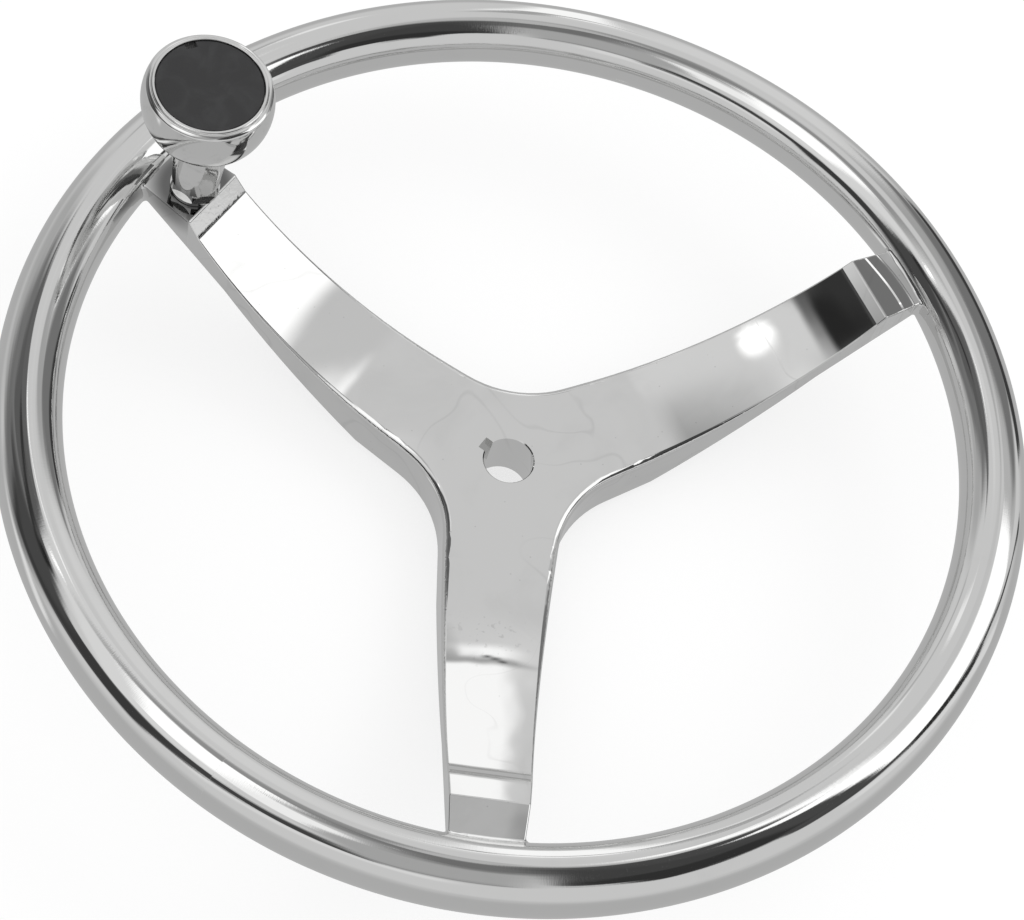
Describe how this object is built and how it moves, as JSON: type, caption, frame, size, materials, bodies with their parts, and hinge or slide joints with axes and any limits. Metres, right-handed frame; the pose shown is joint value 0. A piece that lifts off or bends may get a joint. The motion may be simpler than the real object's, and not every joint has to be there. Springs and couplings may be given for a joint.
{
  "type": "boat steering wheel",
  "caption": "Polished steel boat steering wheel with dished spokes, a tapered keyed hub bore, a round tube rim and a spinner knob bolted through one spoke",
  "frame": {"origin": "on the axis of the hub's bore, at the flat back face of the hub that seats against the helm", "axes": "+Z points from the hub's back face to the person steering, along the bore axis. +Y points from the bore axis to the spoke that carries the knob, with the wheel set straight ahead. +X is to the right as the person steering sees it."},
  "size_m": [0.343, 0.343, 0.1179],
  "materials": {
    "rim_steel": "polished",
    "spider_steel": "polished",
    "post_steel": "polished",
    "head_steel": "polished",
    "fastener_steel": "satin",
    "cap_black": "satin",
    "bush_white": "satin",
    "washer_white": "satin"
  },
  "bodies": {
    "wheel": {"rim_tube": "rim_steel", "spider": "spider_steel", "knob_post": "post_steel", "thrust_washer": "washer_white", "retaining_washer": "fastener_steel", "retaining_screw": "fastener_steel", "lock_washer": "fastener_steel", "back_nut": "fastener_steel"},
    "knob": {"knob_head": "head_steel", "knob_cap": "cap_black", "upper_bush": "bush_white", "lower_bush": "bush_white"}
  },
  "joints": [
    {"name": "knob_spin", "type": "hinge", "parent": "wheel", "child": "knob", "pos_m": [0, 0.13319, 0.10846], "axis": [0, -0.0732, 0.9973], "continuous": true}
  ]
}
